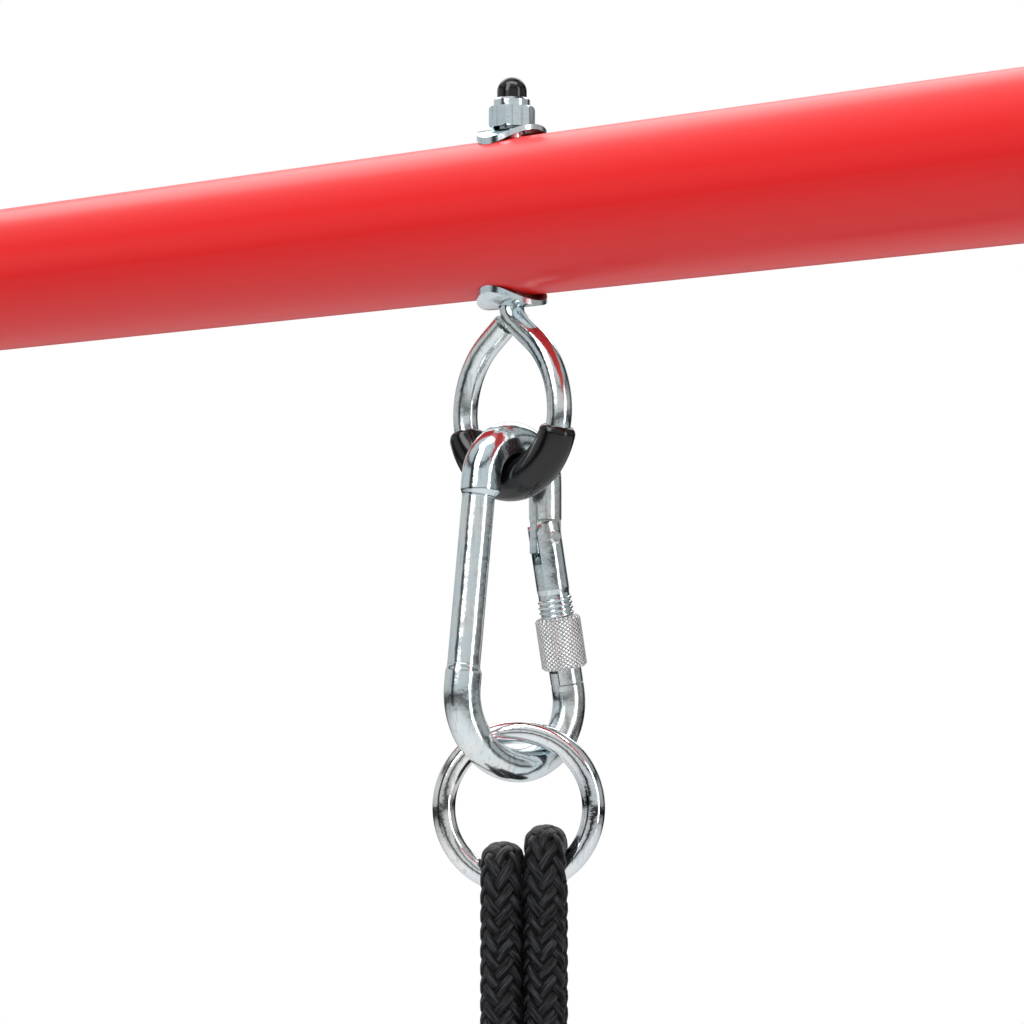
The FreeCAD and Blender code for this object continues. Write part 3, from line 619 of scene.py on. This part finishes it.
def bent_bar(name, start, end, section):
    """A bar along the hook's line between two shares of its length; section gives the half sizes."""
    lengths = lengths_along(hook_line)
    bpy.ops.object.select_all(action="DESELECT")
    bpy.ops.mesh.primitive_cylinder_add(vertices=BAR_SIDES, radius=1, depth=1, end_fill_type="NGON",
                                        location=(0, 0, 0))
    bar = bpy.context.object
    bar.name = name
    bpy.ops.object.mode_set(mode="EDIT")
    bpy.ops.mesh.select_all(action="DESELECT")
    edit = bmesh.from_edit_mesh(bar.data)
    for edge in edit.edges:
        edge.select = abs(edge.verts[0].co.z - edge.verts[1].co.z) > 0.5
    bmesh.update_edit_mesh(bar.data)
    bpy.ops.mesh.subdivide_edgering(number_cuts=BAR_CUTS)
    bpy.ops.object.mode_set(mode="OBJECT")
    for vertex in bar.data.vertices:
        share = start + (end - start) * (vertex.co.z + 0.5)
        here = share * lengths[-1]
        centre = Vector([np.interp(here, lengths, hook_line[:, i]) for i in range(3)])
        ahead = Vector([np.interp(here + LOOK_AHEAD, lengths, hook_line[:, i]) for i in range(3)])
        behind = Vector([np.interp(here - LOOK_AHEAD, lengths, hook_line[:, i]) for i in range(3)])
        run = (ahead - behind).normalized()
        back = facing.cross(run).normalized()
        turn = math.atan2(vertex.co.y, vertex.co.x)
        thick, wide, square = section(share, centre.z)
        outer = math.cos(turn)
        power = square if outer > 0 else 2.0
        size = (abs(outer) ** power + abs(math.sin(turn)) ** power) ** (-1 / power)
        vertex.co = centre + back * (thick * size * outer) + facing * (wide * size * math.sin(turn))
    bpy.ops.object.mode_set(mode="EDIT")
    bpy.ops.mesh.select_all(action="SELECT")
    bpy.ops.mesh.normals_make_consistent(inside=False)
    bpy.ops.object.mode_set(mode="OBJECT")
    bar.data.shade_smooth()
    bar.data.materials.append(zinc)
    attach(bar, "hook")
    print("%s: %d faces" % (name, len(bar.data.polygons)))


def share_at(height):
    """The share of the hook's line at which the spine is that high."""
    lengths = lengths_along(hook_line)
    spine = slice(int(np.argmax(hook_line[:, 2])), int(np.argmin(hook_line[:, 2])) + 1)
    return float(np.interp(-height, -hook_line[spine, 2], lengths[spine]) / lengths[-1])


def step(value, edge, width):
    """Zero below edge and one above it, with a smooth rise over width."""
    share = min(1.0, max(0.0, (value - edge) / width + 0.5))
    return share * share * (3 - 2 * share)


# %% [markdown]
# The section of each bend is worked out along the way. It starts as the round bar with a skin's thickness
# over it, and the press makes it thicker, wider and squarer on its back.

# %% The two pressed bends
SKIN = 0.00003
TOP_BACK = 0.0004
TOP_WIDENING = 0.0007
TOP_SQUARING = 1.1
LOW_SWELL = 0.00028
LOW_SQUARING = 0.4
LOW_BEND_END = 0.97
RING_SEAT = -0.1262


def top_section(share, height):
    """Grows out of the round bar on the gate's side, and stops at the step on the spine."""
    grown = step(share, 0.09, 0.08) * step(height, UPPER_STEP, 0.0016)
    round_bar = HOOK_RADIUS + SKIN
    return round_bar + TOP_BACK * grown, round_bar + TOP_WIDENING * grown, 2.0 + TOP_SQUARING * grown


def low_section(share, height):
    """Swells below the step, but stays slim at the very bottom, where the ring needs room to swing."""
    grown = step(-height, -LOWER_STEP, 0.0014) * (1 - step(share, 0.93, 0.06))
    grown *= step(height, RING_SEAT, 0.0024)
    size = HOOK_RADIUS + SKIN + LOW_SWELL * grown
    return size, size, 2.0 + LOW_SQUARING * grown


bent_bar("pressed_top_bend", 0.0, share_at(UPPER_STEP - 0.0011), top_section)
bent_bar("pressed_low_bend", share_at(LOWER_STEP + 0.0012), LOW_BEND_END, low_section)

# %% [markdown]
# Between the gate's shoulder and the lock sleeve a few turns of the screw thread are bare. One tooth of the
# thread is drawn as a small triangle, and the Screw modifier winds it round the gate's axis.

# %% Bare thread on the gate
THREAD_START = 0.0139
THREAD_PITCH = 0.00125
THREAD_TURNS = 5
THREAD_CORE = 0.0037
THREAD_CREST = 0.00425
THREAD_STEPS = 48
bpy.ops.object.select_all(action="DESELECT")
bpy.ops.mesh.primitive_circle_add(vertices=4, radius=THREAD_PITCH * 0.49, fill_type="NOTHING",
                                  location=(0, 0, 0))
thread = bpy.context.object
thread.name = "gate_thread"
for vertex, (across_core, along_axis) in zip(thread.data.vertices, (
        (THREAD_CORE - 0.0003, 0.48), (THREAD_CORE, 0.48), (THREAD_CREST, 0.0), (THREAD_CORE, -0.48))):
    vertex.co = (across_core, 0, THREAD_START + THREAD_PITCH * (0.5 + along_axis))
thread.data.vertices[0].co.z = THREAD_START + THREAD_PITCH * 0.5
screw = thread.modifiers.new("wind", "SCREW")
screw.angle = 2 * math.pi
screw.screw_offset = THREAD_PITCH
screw.iterations = THREAD_TURNS
screw.steps = THREAD_STEPS
screw.render_steps = THREAD_STEPS
screw.use_normal_calculate = True
bpy.ops.object.modifier_apply(modifier="wind")
bpy.ops.object.mode_set(mode="EDIT")
bpy.ops.mesh.select_all(action="SELECT")
bpy.ops.mesh.fill_holes(sides=6)
bpy.ops.mesh.select_all(action="SELECT")
bpy.ops.mesh.normals_make_consistent(inside=False)
bpy.ops.object.mode_set(mode="OBJECT")
gate_turn = gate_down.to_track_quat("Z", "Y").to_matrix().to_4x4()
thread.data.transform(Matrix.Translation(rivet_place) @ gate_turn)
thread.data.materials.append(zinc)
print("thread: %d faces" % len(thread.data.polygons))
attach(thread, "gate")

# %% [markdown]
# The ropes. Each is a 16-strand braid over a core. Eight strands wind one way and eight the other, and each
# passes over two and under two, which makes the herringbone columns. A rope's line is a NURBS spline; the
# strands follow points read from it. The strand's distance from the line rises where it is over and sinks
# where it is under. Modelling the strands, not only drawing them, gives the rope its real bumpy outline.

# %% Rope line
ring_low = Vector(joints["rope_swing"]["pos_m"])
ROPE_YAW = math.radians(43)
along = Vector((math.cos(ROPE_YAW), math.sin(ROPE_YAW), 0))
across = Vector((0, 0, 1)).cross(along)
ROPE_OFFSETS = {"rope_left": -0.00375, "rope_right": 0.00655}
ROPE_TOPS = {"rope_left": 0.0062, "rope_right": 0.0100}
ROPE_FLATS = {"rope_left": 0.72, "rope_right": 0.78}
LEG_SPREAD = 0.0092
CLAMP_SPREAD = 0.00975
CROWN_SPREAD = 0.0048
CROWN_DROP = 0.0035
LEG_KINK = 0.006
clamp_top = ring_low.z - 0.043
leg_end = ring_low.z - 0.0625


def rope_place(offset, side, height):
    """A point of a rope's line: offset along the ring's wire, side to front or back, and its height."""
    point = ring_low + along * offset + across * side
    point.z = height
    return point


def rope_line(name, offset, top):
    """The rope's route as a NURBS curve, and points read from that curve."""
    route = [
        rope_place(offset, -CLAMP_SPREAD, leg_end),
        rope_place(offset, -CLAMP_SPREAD, clamp_top),
        rope_place(offset, -LEG_SPREAD, ring_low.z - LEG_KINK),
        rope_place(offset, -LEG_SPREAD, ring_low.z + top - CROWN_DROP),
        rope_place(offset, -CROWN_SPREAD, ring_low.z + top),
        rope_place(offset, CROWN_SPREAD, ring_low.z + top),
        rope_place(offset, LEG_SPREAD, ring_low.z + top - CROWN_DROP),
        rope_place(offset, LEG_SPREAD, ring_low.z - LEG_KINK),
        rope_place(offset, CLAMP_SPREAD, clamp_top),
        rope_place(offset, CLAMP_SPREAD, leg_end),
    ]
    curve = bpy.data.curves.new(name + "_line", "CURVE")
    curve.dimensions = "3D"
    spline = curve.splines.new("NURBS")
    spline.points.add(len(route) - 1)
    for point, place in zip(spline.points, route):
        point.co = (*place, 1)
    spline.order_u = 3
    spline.use_endpoint_u = True
    spline.resolution_u = 24
    holder = bpy.data.objects.new(name + "_line", curve)
    scene.collection.objects.link(holder)
    bpy.context.view_layer.update()
    mesh = bpy.data.meshes.new_from_object(holder)
    points = np.array([v.co for v in mesh.vertices], float)
    bpy.data.objects.remove(holder)
    bpy.data.meshes.remove(mesh)
    length = np.linalg.norm(np.diff(points, axis=0), axis=1).sum()
    print("%s: %d points, %.1f mm long" % (name, len(points), length * 1000))
    return points


# %% [markdown]
# The braid. A strand winds round the rope's line like a screw thread, and a wave along its way carries it
# over two strands and under two. Each strand is one closed shell with a flat oval section. Its UV map runs
# round the section and along the strand, for the filaments.

# %% Braid strands
CARRIERS = 16
LAY_LENGTH = 0.0335
STRAND_WIDTH = 0.0029
STRAND_THICKNESS = 0.00155
UNDER_RADIUS = 0.00365
OVER_RADIUS = 0.00435
STRAND_SIDES = 10
STEP = 0.0006
BEND_SHARE = 0.13
WEAVE_SHARPNESS = 1.8
UV_PER_METRE = 100


def even_line(points, step):
    """Places, directions and two side vectors at even steps along a line of points."""
    lengths = lengths_along(points)
    count = int(lengths[-1] / step) + 1
    stations = np.linspace(0, lengths[-1], count)
    place = np.stack([np.interp(stations, lengths, points[:, i]) for i in range(3)], 1)
    tangent = np.gradient(place, axis=0)
    tangent /= np.linalg.norm(tangent, axis=1)[:, None]
    side = np.tile(np.array(along), (count, 1))
    other = np.cross(tangent, side)
    return stations, place, side, other


def braid(name, points, flat):
    """The rope as sixteen woven strands and a core, one closed shell each, with a UV map along them.

    Where the rope bends over the ring it is pressed to the share flat of its height.
    """
    stations, place, side, other = even_line(points, STEP)
    bend = np.clip(1 - np.abs(stations / stations[-1] - 0.5) / BEND_SHARE, 0, 1)
    press = 1 - (1 - flat) * (bend * bend * (3 - 2 * bend))[:, None]
    half = CARRIERS // 2
    profile = [(math.cos(a), math.sin(a)) for a in np.linspace(0, 2 * math.pi, STRAND_SIDES, endpoint=False)]
    rows = len(profile)
    vertices = []
    faces = []
    uvs = []

    def shell(centre, wide, normal, width, thickness):
        """A closed tube of flat oval section along centre."""
        start = len(vertices)
        for i in range(len(centre)):
            for c, s in profile:
                vertices.append(centre[i] + wide[i] * (c * width / 2) + normal[i] * (s * thickness / 2))
        for i in range(len(centre) - 1):
            for j in range(rows):
                k = (j + 1) % rows
                a = start + i * rows
                faces.append((a + j, a + k, a + rows + k, a + rows + j))
                u0 = j / rows
                u1 = (j + 1) / rows
                v0 = stations[i] * UV_PER_METRE
                v1 = stations[i + 1] * UV_PER_METRE
                uvs.extend([(u0, v0), (u1, v0), (u1, v1), (u0, v1)])
        for cap, flip in ((start, True), (start + (len(centre) - 1) * rows, False)):
            ring = [cap + j for j in range(rows)]
            faces.append(tuple(reversed(ring)) if flip else tuple(ring))
            uvs.extend([(0.5, 0)] * rows)

    for direction in (1, -1):
        for k in range(half):
            turn = direction * 2 * math.pi * stations / LAY_LENGTH + 2 * math.pi * k / half
            column = turn / (2 * math.pi) * CARRIERS
            phase = 2 * math.pi * (column - 0.5) / 4
            wave = direction * np.cos(phase)
            lift = np.tanh(WEAVE_SHARPNESS * wave) / math.tanh(WEAVE_SHARPNESS)
            radius = (UNDER_RADIUS + OVER_RADIUS) / 2 + (OVER_RADIUS - UNDER_RADIUS) / 2 * lift
            outward = side * np.cos(turn)[:, None] + other * np.sin(turn)[:, None] * press
            centre = place + outward * radius[:, None]
            run = np.gradient(centre, axis=0)
            run /= np.linalg.norm(run, axis=1)[:, None]
            wide = np.cross(outward, run)
            wide /= np.linalg.norm(wide, axis=1)[:, None]
            normal = np.cross(run, wide)
            shell(centre, wide, normal, STRAND_WIDTH, STRAND_THICKNESS)
    shell(place, side, other, 2 * UNDER_RADIUS, 2 * UNDER_RADIUS)
    mesh = bpy.data.meshes.new(name)
    mesh.from_pydata([tuple(v) for v in vertices], [], faces)
    layer = mesh.uv_layers.new(name="strand")
    layer.data.foreach_set("uv", np.array(uvs, np.float32).ravel())
    rope = bpy.data.objects.new(name, mesh)
    scene.collection.objects.link(rope)
    bm = bmesh.new()
    bm.from_mesh(mesh)
    bmesh.ops.recalc_face_normals(bm, faces=bm.faces)
    bm.to_mesh(mesh)
    bm.free()
    mesh.shade_smooth()
    mesh.materials.append(yarn)
    print("%s: %d faces" % (name, len(mesh.polygons)))
    return rope


# %% [markdown]
# Each rope is woven on its own line. It replaces its plain CAD tube, which is hidden.

# %% The two ropes
for node, top in ROPE_TOPS.items():
    line = rope_line(node, ROPE_OFFSETS[node], top)
    rope = braid(node.replace("rope", "braid"), line, ROPE_FLATS[node])
    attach(rope, "ropes")
    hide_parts(node)
